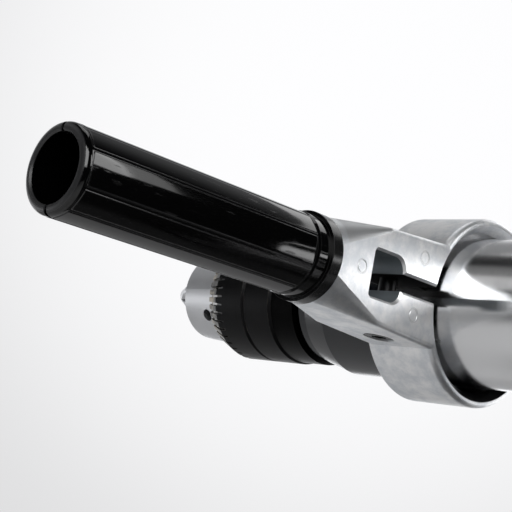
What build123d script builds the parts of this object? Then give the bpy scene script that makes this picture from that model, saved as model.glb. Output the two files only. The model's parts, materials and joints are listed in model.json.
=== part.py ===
from build123d import *
import math
import os

os.makedirs("parts", exist_ok=True)

# Reversible pistol-grip air drill with a clamped side handle and a keyed chuck.
# Millimetres. X runs forward along the spindle, Y towards the side handle, Z up.
# The origin lies on the spindle axis in the plane of the closed jaw tips.

# Clearances
run_gap = 0.05  # radial gap of turning and sliding fits
seat_gap = 0.03  # radial gap of pressed and screwed fits
face_gap = 0.3  # gap between faces of pieces that move past each other
edge_break = 1.0  # chamfer of turned and moulded edges
overcut = 1.0  # how far a cut passes the face it opens

# Chuck, from the jaw tips back
jaw_reach = 9.5
nose_cone_length = 9.5
nose_length = 18.5
sleeve_bevel_length = 7.0
sleeve_length = 30.0
chuck_tail_length = 12.0
nose_face_r = 8.5
nose_cone_r = 17.2
nose_r = 19.0
chuck_core_r = 21.8
chuck_tail_r = 23.4
sleeve_r = 24.0
sleeve_bevel_r = 20.8
sleeve_groove_depth = 0.7
sleeve_groove_width = 1.8
key_tooth_count = 44
key_tooth_depth = 1.4
key_tooth_space = 1.8
key_tooth_floor = 0.6
key_hole_r = 2.5
key_hole_setback = 4.5
bit_bore_r = 6.7
bit_bore_depth = 56.0
jaw_count = 3
chuck_turn = 27.0  # degrees from Y up to the first jaw, as the chuck stopped
jaw_r = 3.4
jaw_tilt = 11.0  # degrees between a jaw and the spindle axis
jaw_tip_r = 3.0
jaw_tip_angle = 30.0  # degrees of the cone ground on the tips
jaw_offset = 3.9  # radius at which a jaw's axis crosses the nose face
jaw_opening = 13.0
nut_width = 7.0
nut_setback = 3.0
nut_groove_r = 12.6
nut_saw_cut = 0.6
chuck_screw_r = 2.5
chuck_screw_head_r = 4.4
chuck_screw_head = 4.0
chuck_screw_length = 16.0

# Spindle
spindle_thread_r = 6.3
spindle_thread_length = 19.0
spindle_r = 8.5
spindle_shoulder = 2.0
spindle_flange_rim = 3.25  # outside the planet pins
spindle_flange = 6.0
chuck_gap = 1.0

# Gear case, from its front back to the joint with the motor housing
case_lip_length = 4.0
case_taper_length = 11.0
case_body_length = 30.0
case_step = 0.2  # how far the case stands back from the barrel
case_taper_r = 22.9
case_lip_r = 21.8
case_spigot_length = 10.0
case_spigot_wall = 2.0
case_throat_r = 13.0

# Bearings, outer radius and width
spindle_rear_bearing_r = 17.5
spindle_rear_bearing_width = 10.0
spindle_front_bearing_r = 15.0
spindle_front_bearing_width = 7.0
retainer_width = 2.6
rotor_bearing_r = 11.0
rotor_bearing_width = 7.0
bearing_groove = 0.6  # depth of the recess between a bearing's two rings
bearing_ring_share = 0.25  # of the bearing's height taken by each ring

# Planetary gears: both stages use the same teeth
ring_gear_wall = 1.9825  # behind the tooth roots
pressure_angle = math.radians(25.0)
sun_teeth = 15
planet_teeth = 15
planet_count = 3
addendum = 0.8  # in modules
dedendum = 1.05  # in modules
backlash = 0.1
planet_width = 10.5
planet_pin_r = 2.0
carrier_plate = 5.0
carrier_rim = 2.75  # outside the planet pins
stage_gap = 0.6

# Air motor
rotor_length = 47.6
rotor_gap = 0.2  # where the rotor comes nearest to the cylinder
rotor_shaft_r = 4.0
pinion_shaft_r = 3.4
cylinder_wall = 2.2  # at its thinnest
cylinder_offset = 1.8
end_plate_width = 10.0
vane_count = 5
vane_width = 2.0
vane_height = 6.4
cylinder_port_r = 2.2
cylinder_port_pitch = 9.0
cylinder_port_count = 4

# Motor housing
barrel_length = 111.0
barrel_r = 26.0
barrel_wall = 4.0
barrel_edge_r = 7.0
rear_wall = 8.0
grip_setback = 27.0  # rear face of the barrel to the middle of the grip's root
grip_root_depth = 50.0
grip_root_width = 40.0
grip_neck_drop = 34.0
grip_neck_depth = 48.0
grip_neck_width = 35.0
grip_waist_drop = 84.0
grip_waist_depth = 42.0
grip_waist_width = 33.0
grip_base_drop = 150.0
grip_base_depth = 46.0
grip_base_width = 36.0
grip_rake = 10.0  # how far the base lies behind the root
grip_corner_r = 13.0
grip_blend_r = 6.0  # round where the grip leaves the barrel

# Throttle and trigger
valve_drop = 47.0
valve_bore_r = 8.0
valve_bore_end = 13.0  # behind the grip's middle
trigger_travel = 5.0
trigger_width = 13.0
trigger_height = 25.0
trigger_depth = 10.0
trigger_proud = 6.0
trigger_finger_r = 19.0
trigger_hollow = 3.0
trigger_corner_r = 3.0
valve_bushing_length = 9.0
valve_guide_length = 3.0
valve_side_port_r = 1.8
valve_port_r = 5.0
valve_stem_r = 2.5
valve_head_r = 6.4
valve_head_width = 3.0
spring_wire = 0.9
spring_r = 5.0
spring_turns = 5

# Reversing spool
spool_r = 5.0
spool_waist_r = 3.2
spool_travel = 8.0
spool_button = 5.0
spool_waist_length = 15.0
spool_drop = 31.5
spool_setback = 7.0  # ahead of the grip's middle

# Air inlet and exhaust at the base of the grip
inlet_setback = 5.0  # behind the grip's middle
inlet_passage_r = 4.5
inlet_thread_r = 5.72
inlet_thread_length = 14.0
inlet_spigot_r = 9.0
inlet_spigot_length = 16.0
inlet_hex = 22.0
inlet_hex_height = 8.0
screen_width = 1.2
screen_hole = 1.3
screen_hole_ring_r = 3.0
screen_hole_count = 8
exhaust_setback = 19.0
exhaust_passage_r = 3.0
deflector_height = 10.0
deflector_wall = 2.5
deflector_slot = 2.4
deflector_slot_depth = 5.6
deflector_slot_count = 5

# Side handle bracket, distances out along Y from the spindle axis
clamp_setback = 11.0  # from the housing joint back to the middle of the ring
ring_wall = 7.0
ring_width = 27.0
ring_edge = 1.2
ring_rim_r = 2.2
ring_mouth_depth = 3.5
ring_mouth_wall = 2.4
ring_relief = 2.0
ring_relief_depth = 10.0
arm_reach = 57.5
arm_height = 32.0
arm_root_height = 36.0
arm_corner_r = 1.6
neck_reach = 80.0
neck_r = 14.3
window_near = 48.0
window_far = 63.5
window_height = 15.0
window_corner_r = 5.0
window_far_corner_r = 1.0
window_edge = 0.8
slit_width = 5.7
ejector_mark_r = 2.2
ejector_mark_width = 0.5
ejector_mark_depth = 0.15
ejector_marks = ((69.3, 0.5), (39.0, 10.5), (40.3, -9.0))  # places on the rear face
spigot_reach = 125.0
spigot_r = 9.9
clamp_screw_reach = 39.5
clamp_screw_r = 3.0
clamp_head_r = 5.0
clamp_head_height = 6.0
clamp_socket_hex = 5.0
clamp_socket_depth = 3.0
clamp_pocket_depth = 7.0
clamp_nut_hex = 10.0
clamp_nut_height = 5.0

# Side handle grip, two half shells
handle_length = 100.7
handle_r = 13.0
handle_bore_r = 10.0
handle_flange_r = 14.6
handle_flange_width = 4.3
handle_collar_width = 5.7
handle_collar_r = 13.4
handle_rim_width = 2.3
handle_end_r = 2.0  # round of the open end
handle_mouth_edge = 0.5
handle_notch_width = 1.2  # where the two shells part at the open end
handle_notch_depth = 2.5
handle_seam = 0.2
handle_panels = (  # direction and half width of each finger panel, in degrees
    (0, 22.0),
    (40.5, 16.0),
    (-40.5, 16.0),
    (74.0, 15.0),
    (-74.0, 15.0),
)
handle_panel_crown = 0.3
handle_ledge_width = 4.0
handle_screw_r = 3.0
handle_screw_length = 20.0
handle_screw_head_r = 5.0
handle_screw_head_height = 6.0
handle_washer_r = 8.0
handle_washer_width = 1.6

# Radii that follow the barrel
bore_r = barrel_r - barrel_wall
case_r = barrel_r - case_step
case_spigot_r = bore_r + case_spigot_wall
ring_r = barrel_r + ring_wall
ring_mouth_r = ring_r - ring_mouth_wall
cylinder_bore_r = bore_r - cylinder_wall - cylinder_offset
rotor_r = cylinder_bore_r - cylinder_offset - rotor_gap

# Stations along the spindle axis
nose_x = -jaw_reach
cone_x = nose_x - nose_cone_length
sleeve_front_x = cone_x - nose_length
bevel_x = sleeve_front_x - sleeve_bevel_length
sleeve_rear_x = bevel_x - sleeve_length
chuck_rear_x = sleeve_rear_x - chuck_tail_length
case_front_x = chuck_rear_x - chuck_gap
lip_x = case_front_x - case_lip_length
taper_x = lip_x - case_taper_length
joint_x = taper_x - case_body_length
clamp_x = joint_x - clamp_setback
barrel_rear_x = joint_x - barrel_length
grip_x = barrel_rear_x + grip_setback

# Stations of the motor and the gear train, stacked on the housing's rear wall
motor_rear_x = barrel_rear_x + rear_wall
cylinder_rear_x = motor_rear_x + end_plate_width
cylinder_length = rotor_length + 2 * face_gap
cylinder_front_x = cylinder_rear_x + cylinder_length
ring_gear_rear_x = cylinder_front_x + end_plate_width
first_planet_x = ring_gear_rear_x + stage_gap
first_carrier_x = first_planet_x + planet_width + stage_gap
second_planet_x = first_carrier_x + carrier_plate + stage_gap
spindle_rear_x = second_planet_x + planet_width + stage_gap
ring_gear_front_x = spindle_rear_x - stage_gap / 2
spindle_flange_x = spindle_rear_x + spindle_flange
rear_bearing_x = spindle_flange_x + stage_gap
rear_bearing_front_x = rear_bearing_x + spindle_rear_bearing_width
retainer_x = lip_x - case_lip_length / 2
front_bearing_front_x = retainer_x
front_bearing_x = front_bearing_front_x - spindle_front_bearing_width

# Gear sizes
ring_teeth = sun_teeth + 2 * planet_teeth
gear_module = (bore_r - ring_gear_wall) / (ring_teeth / 2 + dedendum)
sun_pitch_r = gear_module * sun_teeth / 2
planet_pitch_r = gear_module * planet_teeth / 2
ring_pitch_r = gear_module * ring_teeth / 2
planet_orbit_r = sun_pitch_r + planet_pitch_r
carrier_r = planet_orbit_r + planet_pin_r + carrier_rim
spindle_flange_r = planet_orbit_r + planet_pin_r + spindle_flange_rim

# Chuck stations that follow from the sizes above
nut_front_x = sleeve_front_x - nut_setback
nut_rear_x = nut_front_x - nut_width
tilt = math.radians(jaw_tilt)
jaw_rear_x = nut_rear_x - face_gap
bit_bore_x = nose_x - bit_bore_depth
spindle_front_x = chuck_rear_x + spindle_thread_length
socket_x = spindle_front_x + 2 * face_gap
jaw_travel = jaw_opening / 2 / math.sin(tilt)
jaw_hole_x = jaw_rear_x - jaw_travel * math.cos(tilt) - face_gap

side_axis = Axis((clamp_x, 0, 0), (0, 1, 0))


def profile(points, plane=Plane.XY):
    """Closed outline through the points, as a sketch on the plane."""
    with BuildSketch(plane) as outline:
        with BuildLine():
            Polyline(*points, close=True)
        make_face()
    return outline.sketch


def disc(x, radius):
    """Round face across the spindle axis at station x."""
    with BuildSketch(Plane.YZ.offset(x)) as face:
        Circle(radius)
    return face.sketch


def involute(angle):
    return math.tan(angle) - angle


def gear_outline(x, teeth, tip_r, root_r, thinning, pitch_r):
    """Gear face across the spindle axis, one straight flank from each root to its tip."""
    base_r = pitch_r * math.cos(pressure_angle)
    middle = math.pi / (2 * teeth) + involute(pressure_angle) - thinning / (2 * pitch_r)
    root_half = middle - involute(math.acos(min(1, base_r / root_r)))
    tip_half = middle - involute(math.acos(base_r / tip_r))
    points = []
    for tooth in range(teeth):
        angle = 2 * math.pi * tooth / teeth
        for radius, turn in (
            (root_r, -root_half),
            (tip_r, -tip_half),
            (tip_r, tip_half),
            (root_r, root_half),
        ):
            points.append((radius * math.cos(angle + turn), radius * math.sin(angle + turn)))
    return profile(points, Plane.YZ.offset(x))


def spur_face(x, teeth, pitch_r):
    tip_r = pitch_r + addendum * gear_module
    root_r = pitch_r - dedendum * gear_module
    return gear_outline(x, teeth, tip_r, root_r, backlash, pitch_r)


def bearing_profile(x, width, inner_r, outer_r):
    """Half section of a ball bearing with a recess between its rings on both sides."""
    wall = (outer_r - inner_r) * bearing_ring_share
    front = x + width
    return profile(
        [
            (x, inner_r),
            (x, inner_r + wall),
            (x + bearing_groove, inner_r + wall),
            (x + bearing_groove, outer_r - wall),
            (x, outer_r - wall),
            (x, outer_r),
            (front, outer_r),
            (front, outer_r - wall),
            (front - bearing_groove, outer_r - wall),
            (front - bearing_groove, inner_r + wall),
            (front, inner_r + wall),
            (front, inner_r),
        ]
    )


def finish(piece, name):
    """Label a finished piece and write it to its own file."""
    piece.part.label = name
    export_step(piece.part, f"parts/{name}.step")


# Motor housing: polished casting, barrel and pistol grip in one
grip_levels = [
    (barrel_r / 2, grip_root_depth, grip_root_width, 0),
    (grip_neck_drop, grip_neck_depth, grip_neck_width, grip_rake * grip_neck_drop / grip_base_drop),
    (grip_waist_drop, grip_waist_depth, grip_waist_width, grip_rake * grip_waist_drop / grip_base_drop),
    (grip_base_drop, grip_base_depth, grip_base_width, grip_rake),
]
valve_x = grip_x + spool_setback
inlet_x = grip_x - inlet_setback
exhaust_x = grip_x - exhaust_setback
valve_end_x = grip_x - valve_bore_end
trigger_front_x = grip_x + grip_neck_depth / 2 + trigger_proud
trigger_rear_x = trigger_front_x - trigger_depth
trigger_pocket_x = trigger_rear_x - trigger_travel - face_gap
valve_bushing_x = trigger_pocket_x - valve_bushing_length
inlet_seat_z = -grip_base_drop + inlet_spigot_length
with BuildPart() as motor_housing:
    extrude(disc(barrel_rear_x, barrel_r), amount=barrel_length)
    fillet(motor_housing.edges().group_by(Axis.X)[0], radius=barrel_edge_r)
    for drop, depth, width, rake in grip_levels:
        with BuildSketch(Plane((grip_x - rake, 0, -drop))):
            RectangleRounded(depth, width, grip_corner_r)
    loft()
    fillet(motor_housing.edges(Select.NEW), radius=grip_blend_r)
    extrude(disc(motor_rear_x, bore_r + seat_gap), amount=joint_x - motor_rear_x, mode=Mode.SUBTRACT)
    extrude(disc(joint_x, case_spigot_r + seat_gap), amount=-case_spigot_length, mode=Mode.SUBTRACT)
    with BuildSketch(Plane.YZ.offset(trigger_front_x)):
        with Locations((0, -valve_drop)):
            RectangleRounded(
                trigger_width + 2 * face_gap,
                trigger_height + 2 * face_gap,
                trigger_corner_r + face_gap,
            )
    extrude(amount=trigger_pocket_x - trigger_front_x, mode=Mode.SUBTRACT)
    with BuildSketch(Plane.YZ.offset(trigger_pocket_x)):
        with Locations((0, -valve_drop)):
            Circle(valve_bore_r + seat_gap)
    extrude(amount=valve_end_x - trigger_pocket_x, mode=Mode.SUBTRACT)
    with BuildSketch(Plane.XZ.offset(-grip_root_width)):
        with Locations((valve_x, -spool_drop)):
            Circle(spool_r + run_gap)
    extrude(amount=2 * grip_root_width, mode=Mode.SUBTRACT)
    with BuildSketch(Plane((valve_x, 0, -valve_drop))):
        Circle(spool_waist_r)
    extrude(amount=valve_drop - bore_r / 2, mode=Mode.SUBTRACT)
    with BuildSketch(Plane((inlet_x, 0, -grip_base_drop))):
        Circle(inlet_spigot_r + seat_gap)
    extrude(amount=inlet_spigot_length + screen_width, mode=Mode.SUBTRACT)
    with BuildSketch(Plane((inlet_x, 0, -grip_base_drop))):
        Circle(inlet_passage_r)
    extrude(amount=grip_base_drop - valve_drop, mode=Mode.SUBTRACT)
    with BuildSketch(Plane((exhaust_x, 0, -grip_base_drop))):
        Circle(exhaust_passage_r)
    extrude(amount=grip_base_drop - bore_r / 2, mode=Mode.SUBTRACT)
finish(motor_housing, "motor_housing")

# Gear case: dark front casting, screwed into the housing by its spigot
case_spigot_x = joint_x - case_spigot_length
case_floor_x = rear_bearing_front_x
with BuildPart() as gear_case:
    revolve(
        profile(
            [
                (case_spigot_x, bore_r + seat_gap),
                (case_spigot_x, case_spigot_r),
                (joint_x, case_spigot_r),
                (joint_x, case_r),
                (taper_x, case_r),
                (lip_x, case_taper_r),
                (lip_x, case_lip_r),
                (case_front_x, case_lip_r),
                (case_front_x, spindle_front_bearing_r + seat_gap),
                (front_bearing_x, spindle_front_bearing_r + seat_gap),
                (front_bearing_x, case_throat_r),
                (case_floor_x, case_throat_r),
                (case_floor_x, spindle_rear_bearing_r + seat_gap),
                (rear_bearing_x, spindle_rear_bearing_r + seat_gap),
                (rear_bearing_x, spindle_flange_r + face_gap),
                (ring_gear_front_x, spindle_flange_r + face_gap),
                (ring_gear_front_x, bore_r + seat_gap),
            ]
        ),
        axis=Axis.X,
    )
finish(gear_case, "gear_case")

# Ring gear: one internal gear for both stages, held between end plate and gear case
with BuildPart() as ring_gear:
    extrude(disc(ring_gear_rear_x, bore_r), amount=ring_gear_front_x - ring_gear_rear_x)
    extrude(
        gear_outline(
            ring_gear_rear_x,
            ring_teeth,
            ring_pitch_r + dedendum * gear_module,
            ring_pitch_r - addendum * gear_module,
            -backlash,
            ring_pitch_r,
        ),
        amount=ring_gear_front_x - ring_gear_rear_x,
        mode=Mode.SUBTRACT,
    )
finish(ring_gear, "ring_gear")

# Motor cylinder: eccentric bore, row of air ports at the bottom
port_row = (cylinder_port_count - 1) * cylinder_port_pitch
with BuildPart() as motor_cylinder:
    extrude(disc(cylinder_rear_x, bore_r), amount=cylinder_length)
    with BuildSketch(Plane.YZ.offset(cylinder_rear_x)):
        with Locations((0, cylinder_offset)):
            Circle(cylinder_bore_r)
    extrude(amount=cylinder_length, mode=Mode.SUBTRACT)
    with BuildSketch(Plane((cylinder_rear_x + cylinder_length / 2, 0, -bore_r))):
        with GridLocations(cylinder_port_pitch, 1, cylinder_port_count, 1):
            Circle(cylinder_port_r)
    extrude(amount=bore_r, mode=Mode.SUBTRACT)
finish(motor_cylinder, "motor_cylinder")

# End plates: close the cylinder and carry the rotor bearings
pocket_r = rotor_bearing_r + seat_gap
shaft_hole_r = rotor_shaft_r + face_gap
with BuildPart() as rear_end_plate:
    revolve(
        profile(
            [
                (motor_rear_x, pocket_r),
                (motor_rear_x, bore_r),
                (cylinder_rear_x, bore_r),
                (cylinder_rear_x, shaft_hole_r),
                (motor_rear_x + rotor_bearing_width, shaft_hole_r),
                (motor_rear_x + rotor_bearing_width, pocket_r),
            ]
        ),
        axis=Axis.X,
    )
finish(rear_end_plate, "rear_end_plate")

with BuildPart() as front_end_plate:
    revolve(
        profile(
            [
                (cylinder_front_x, shaft_hole_r),
                (cylinder_front_x, bore_r),
                (ring_gear_rear_x, bore_r),
                (ring_gear_rear_x, pocket_r),
                (ring_gear_rear_x - rotor_bearing_width, pocket_r),
                (ring_gear_rear_x - rotor_bearing_width, shaft_hole_r),
            ]
        ),
        axis=Axis.X,
    )
finish(front_end_plate, "front_end_plate")

# Ball bearings of the rotor and of the spindle
bearings = {
    "rotor_rear_bearing": (motor_rear_x, rotor_bearing_width, rotor_shaft_r, rotor_bearing_r),
    "rotor_front_bearing": (
        ring_gear_rear_x - rotor_bearing_width,
        rotor_bearing_width,
        rotor_shaft_r,
        rotor_bearing_r,
    ),
    "spindle_rear_bearing": (
        rear_bearing_x,
        spindle_rear_bearing_width,
        spindle_r,
        spindle_rear_bearing_r,
    ),
    "spindle_front_bearing": (
        front_bearing_x,
        spindle_front_bearing_width,
        spindle_r,
        spindle_front_bearing_r,
    ),
}
for name, (x, width, shaft_r, outer_r) in bearings.items():
    with BuildPart() as bearing:
        revolve(bearing_profile(x, width, shaft_r + run_gap, outer_r), axis=Axis.X)
    finish(bearing, name)

# Retainer: ring pressed into the gear case in front of the spindle bearing
with BuildPart() as bearing_retainer:
    extrude(disc(retainer_x, spindle_front_bearing_r), amount=retainer_width)
    extrude(disc(retainer_x, spindle_r + face_gap), amount=retainer_width, mode=Mode.SUBTRACT)
finish(bearing_retainer, "bearing_retainer")

# Rotor: slotted drum on its shaft, with a seat for the pinion
rotor_rear_x = cylinder_rear_x + face_gap
rotor_front_x = rotor_rear_x + rotor_length
shaft_rear_x = motor_rear_x + face_gap
pinion_front_x = first_carrier_x - stage_gap
vane_slot = vane_height + face_gap
with BuildPart() as rotor:
    revolve(
        profile(
            [
                (shaft_rear_x, 0),
                (shaft_rear_x, rotor_shaft_r),
                (rotor_rear_x, rotor_shaft_r),
                (rotor_rear_x, rotor_r),
                (rotor_front_x, rotor_r),
                (rotor_front_x, rotor_shaft_r),
                (ring_gear_rear_x, rotor_shaft_r),
                (ring_gear_rear_x, pinion_shaft_r),
                (pinion_front_x, pinion_shaft_r),
                (pinion_front_x, 0),
            ]
        ),
        axis=Axis.X,
    )
    with BuildSketch(Plane.YZ.offset(rotor_rear_x)):
        with PolarLocations(rotor_r - vane_slot / 2, vane_count):
            Rectangle(vane_slot, vane_width + 2 * run_gap)
    extrude(amount=rotor_length, mode=Mode.SUBTRACT)
finish(rotor, "rotor")

# Vanes: five loose blades, drawn back into the rotor's slots
with BuildPart() as rotor_vanes:
    with BuildSketch(Plane.YZ.offset(rotor_rear_x)):
        with PolarLocations(rotor_r - run_gap - vane_height / 2, vane_count):
            Rectangle(vane_height, vane_width)
    extrude(amount=rotor_length)
finish(rotor_vanes, "rotor_vanes")

# Pinion: sun gear of the first stage, pressed on the rotor's shaft
with BuildPart() as rotor_pinion:
    extrude(spur_face(first_planet_x, sun_teeth, sun_pitch_r), amount=planet_width)
    extrude(disc(first_planet_x, pinion_shaft_r + seat_gap), amount=planet_width, mode=Mode.SUBTRACT)
finish(rotor_pinion, "rotor_pinion")

# First carrier: plate with the sun gear of the second stage in front of it
with BuildPart() as first_carrier:
    extrude(disc(first_carrier_x, carrier_r), amount=carrier_plate)
    extrude(
        spur_face(first_carrier_x + carrier_plate, sun_teeth, sun_pitch_r),
        amount=planet_width + stage_gap,
    )
    with BuildSketch(Plane.YZ.offset(first_carrier_x)):
        with PolarLocations(planet_orbit_r, planet_count):
            Circle(planet_pin_r + seat_gap)
    extrude(amount=carrier_plate, mode=Mode.SUBTRACT)
finish(first_carrier, "first_carrier")

# Spindle: planet flange, bearing journal, and the thread that carries the chuck
with BuildPart() as spindle:
    revolve(
        profile(
            [
                (spindle_rear_x, 0),
                (spindle_rear_x, spindle_flange_r),
                (spindle_flange_x, spindle_flange_r),
                (spindle_flange_x, spindle_r + spindle_shoulder),
                (rear_bearing_x, spindle_r + spindle_shoulder),
                (rear_bearing_x, spindle_r),
                (chuck_rear_x, spindle_r),
                (chuck_rear_x, spindle_thread_r),
                (spindle_front_x, spindle_thread_r),
                (spindle_front_x, chuck_screw_r + seat_gap),
                (spindle_front_x - chuck_screw_length, chuck_screw_r + seat_gap),
                (spindle_front_x - chuck_screw_length, 0),
            ]
        ),
        axis=Axis.X,
    )
    with BuildSketch(Plane.YZ.offset(spindle_rear_x)):
        with PolarLocations(planet_orbit_r, planet_count):
            Circle(planet_pin_r + seat_gap)
    extrude(amount=spindle_flange, mode=Mode.SUBTRACT)
finish(spindle, "spindle")

# Planet pins, pressed into their carriers
for name, rear_x, front_x in (
    ("first_planet_pins", first_planet_x, first_carrier_x + carrier_plate),
    ("second_planet_pins", second_planet_x, spindle_flange_x),
):
    with BuildPart() as planet_pins:
        with BuildSketch(Plane.YZ.offset(rear_x)):
            with PolarLocations(planet_orbit_r, planet_count):
                Circle(planet_pin_r)
        extrude(amount=front_x - rear_x)
    finish(planet_pins, name)

# Planet gears: three alike in each stage, one tooth of each pointing straight out
for stage, x in (("first", first_planet_x), ("second", second_planet_x)):
    for number in range(planet_count):
        with BuildPart() as planet_gear:
            extrude(spur_face(x, planet_teeth, planet_pitch_r), amount=planet_width)
            extrude(disc(x, planet_pin_r + run_gap), amount=planet_width, mode=Mode.SUBTRACT)
        orbit = Location((0, 0, 0), (360 * number / planet_count, 0, 0))
        planet_gear.part.locate(orbit * Location((0, planet_orbit_r, 0)))
        finish(planet_gear, f"{stage}_planet_gear_{number + 1}")


def outward(turn):
    """Unit vector square to the spindle axis, turned from Y towards Z by degrees."""
    angle = math.radians(turn)
    return Vector(0, math.cos(angle), math.sin(angle))


def jaw_turn(number):
    return chuck_turn + 360 * number / jaw_count


def jaw_axis_r(x):
    return jaw_offset + (nose_x - x) * math.tan(tilt)


def jaw_edge_r(x):
    return jaw_axis_r(x) + jaw_r / math.cos(tilt)


def jaw_plane(number, x):
    """Plane across one jaw's axis where it passes station x, facing back along the jaw."""
    out = outward(jaw_turn(number))
    back = Vector(-math.cos(tilt), 0, 0) + out * math.sin(tilt)
    return Plane(Vector(x, 0, 0) + out * jaw_axis_r(x), z_dir=back)


# Chuck body: nose, core under the sleeve and tail, with three slanted jaw holes
jaw_hole_length = (nose_x + jaw_reach - jaw_hole_x) / math.cos(tilt)
with BuildPart() as chuck_body:
    revolve(
        profile(
            [
                (chuck_rear_x, spindle_thread_r + seat_gap),
                (chuck_rear_x, chuck_tail_r - edge_break),
                (chuck_rear_x + edge_break, chuck_tail_r),
                (sleeve_rear_x, chuck_tail_r),
                (sleeve_rear_x, chuck_core_r),
                (nut_rear_x, chuck_core_r),
                (nut_rear_x, nut_groove_r),
                (nut_front_x, nut_groove_r),
                (nut_front_x, nose_r),
                (sleeve_front_x, nose_r),
                (cone_x, nose_cone_r),
                (nose_x, nose_face_r),
                (nose_x, bit_bore_r),
                (bit_bore_x, bit_bore_r),
                (bit_bore_x, chuck_screw_r + run_gap),
                (socket_x, chuck_screw_r + run_gap),
                (socket_x, spindle_thread_r + seat_gap),
            ]
        ),
        axis=Axis.X,
    )
    for number in range(jaw_count):
        with BuildSketch(jaw_plane(number, 0)):
            Circle(jaw_r + run_gap)
        extrude(amount=jaw_hole_length, mode=Mode.SUBTRACT)
        between = outward(jaw_turn(number) + 180 / jaw_count)
        with BuildSketch(Plane((sleeve_front_x + key_hole_setback, 0, 0), z_dir=between)):
            Circle(key_hole_r)
        extrude(amount=nose_r + overcut, mode=Mode.SUBTRACT)
finish(chuck_body, "chuck_body")

# Retaining screw inside the chuck, down into the spindle's end
with BuildPart() as chuck_screw:
    extrude(disc(bit_bore_x, chuck_screw_head_r), amount=chuck_screw_head)
    extrude(
        disc(bit_bore_x, chuck_screw_r),
        amount=spindle_front_x - chuck_screw_length + face_gap - bit_bore_x,
    )
finish(chuck_screw, "chuck_screw")

# Sleeve: turned ring with a groove and a bevel of key teeth at its front
groove_x = sleeve_rear_x + sleeve_length / 2
sleeve_bore_r = chuck_core_r + run_gap
bevel_drop = sleeve_r - sleeve_bevel_r
half_space = key_tooth_space / 2
half_floor = key_tooth_floor / 2
with BuildPart() as chuck_sleeve:
    revolve(
        profile(
            [
                (sleeve_rear_x + face_gap, sleeve_bore_r),
                (sleeve_rear_x + face_gap, sleeve_r - edge_break),
                (sleeve_rear_x + face_gap + edge_break, sleeve_r),
                (groove_x - sleeve_groove_width / 2, sleeve_r),
                (groove_x, sleeve_r - sleeve_groove_depth),
                (groove_x + sleeve_groove_width / 2, sleeve_r),
                (bevel_x, sleeve_r),
                (sleeve_front_x, sleeve_bevel_r),
                (sleeve_front_x, nose_r + run_gap),
                (nut_front_x, nose_r + run_gap),
                (nut_front_x, sleeve_bore_r),
            ]
        ),
        axis=Axis.X,
    )
    for tooth in range(key_tooth_count):
        out = outward(360 * tooth / key_tooth_count)
        start = Vector(bevel_x - sleeve_bevel_length, 0, 0) + out * (sleeve_r + bevel_drop)
        slope = Vector(sleeve_bevel_length, 0, 0) - out * bevel_drop
        with BuildSketch(Plane(start, x_dir=Vector(1, 0, 0).cross(out), z_dir=slope)):
            with BuildLine():
                Polyline(
                    (-half_space, -overcut),
                    (-half_floor, key_tooth_depth),
                    (half_floor, key_tooth_depth),
                    (half_space, -overcut),
                    close=True,
                )
            make_face()
        extrude(amount=3 * slope.length, mode=Mode.SUBTRACT)
finish(chuck_sleeve, "chuck_sleeve")

# Split nut: ring in two halves inside the sleeve, driving the jaws
with BuildPart() as chuck_nut:
    revolve(
        profile(
            [
                (nut_rear_x + face_gap / 2, jaw_edge_r(nut_rear_x) + face_gap),
                (nut_rear_x + face_gap / 2, chuck_core_r),
                (nut_front_x - face_gap / 2, chuck_core_r),
                (nut_front_x - face_gap / 2, jaw_edge_r(nut_front_x) + face_gap),
            ]
        ),
        axis=Axis.X,
    )
    with BuildSketch(Plane.YZ.offset(nut_rear_x)):
        Rectangle(2 * sleeve_r, nut_saw_cut)
    extrude(amount=nut_width, mode=Mode.SUBTRACT)
finish(chuck_nut, "chuck_nut")

# Jaws: slanted rods whose tips are ground to a 120 degree wedge
wedge_size = 2 * sleeve_r
jaw_length = (nose_x - jaw_rear_x) / math.cos(tilt)
for number in range(jaw_count):
    with BuildPart() as chuck_jaw:
        with BuildSketch(jaw_plane(number, nose_x)):
            Circle(jaw_r)
        extrude(amount=jaw_length)
        with BuildSketch(jaw_plane(number, nose_x)):
            Circle(jaw_r)
        extrude(amount=-2 * jaw_reach)
        out = outward(jaw_turn(number))
        apex = Vector(0, 0, 0) + out * (face_gap / 2 / math.sin(math.pi / jaw_count))
        side = math.tan(math.pi / jaw_count) * wedge_size
        with BuildSketch(Plane(apex + Vector(jaw_reach, 0, 0), x_dir=out, z_dir=(-1, 0, 0))):
            with BuildLine():
                Polyline((0, 0), (wedge_size, side), (wedge_size, -side), close=True)
            make_face()
        extrude(amount=2 * jaw_reach - jaw_rear_x, mode=Mode.INTERSECT)
        revolve(
            profile(
                [
                    (0, 0),
                    (0, jaw_tip_r),
                    (nose_x, jaw_tip_r + jaw_reach * math.tan(math.radians(jaw_tip_angle))),
                    (nose_x, wedge_size),
                    (2 * jaw_rear_x, wedge_size),
                    (2 * jaw_rear_x, 0),
                ]
            ),
            axis=Axis.X,
            mode=Mode.INTERSECT,
        )
    finish(chuck_jaw, f"chuck_jaw_{number + 1}")

# Trigger: finger button with a hollow front, sliding straight back into the grip
with BuildPart() as trigger:
    with BuildSketch(Plane.XZ.offset(-trigger_width / 2)):
        with Locations((trigger_front_x - trigger_depth / 2, -valve_drop)):
            Rectangle(trigger_depth, trigger_height)
        with Locations((trigger_front_x + trigger_finger_r - trigger_hollow, -valve_drop)):
            Circle(trigger_finger_r, mode=Mode.SUBTRACT)
    extrude(amount=trigger_width)
    fillet(trigger.edges().filter_by(Axis.X), radius=trigger_corner_r)
    with BuildSketch(Plane.YZ.offset(trigger_rear_x)):
        with Locations((0, -valve_drop)):
            Circle(valve_stem_r + seat_gap)
    extrude(amount=trigger_depth / 2, mode=Mode.SUBTRACT)
finish(trigger, "trigger")

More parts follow.
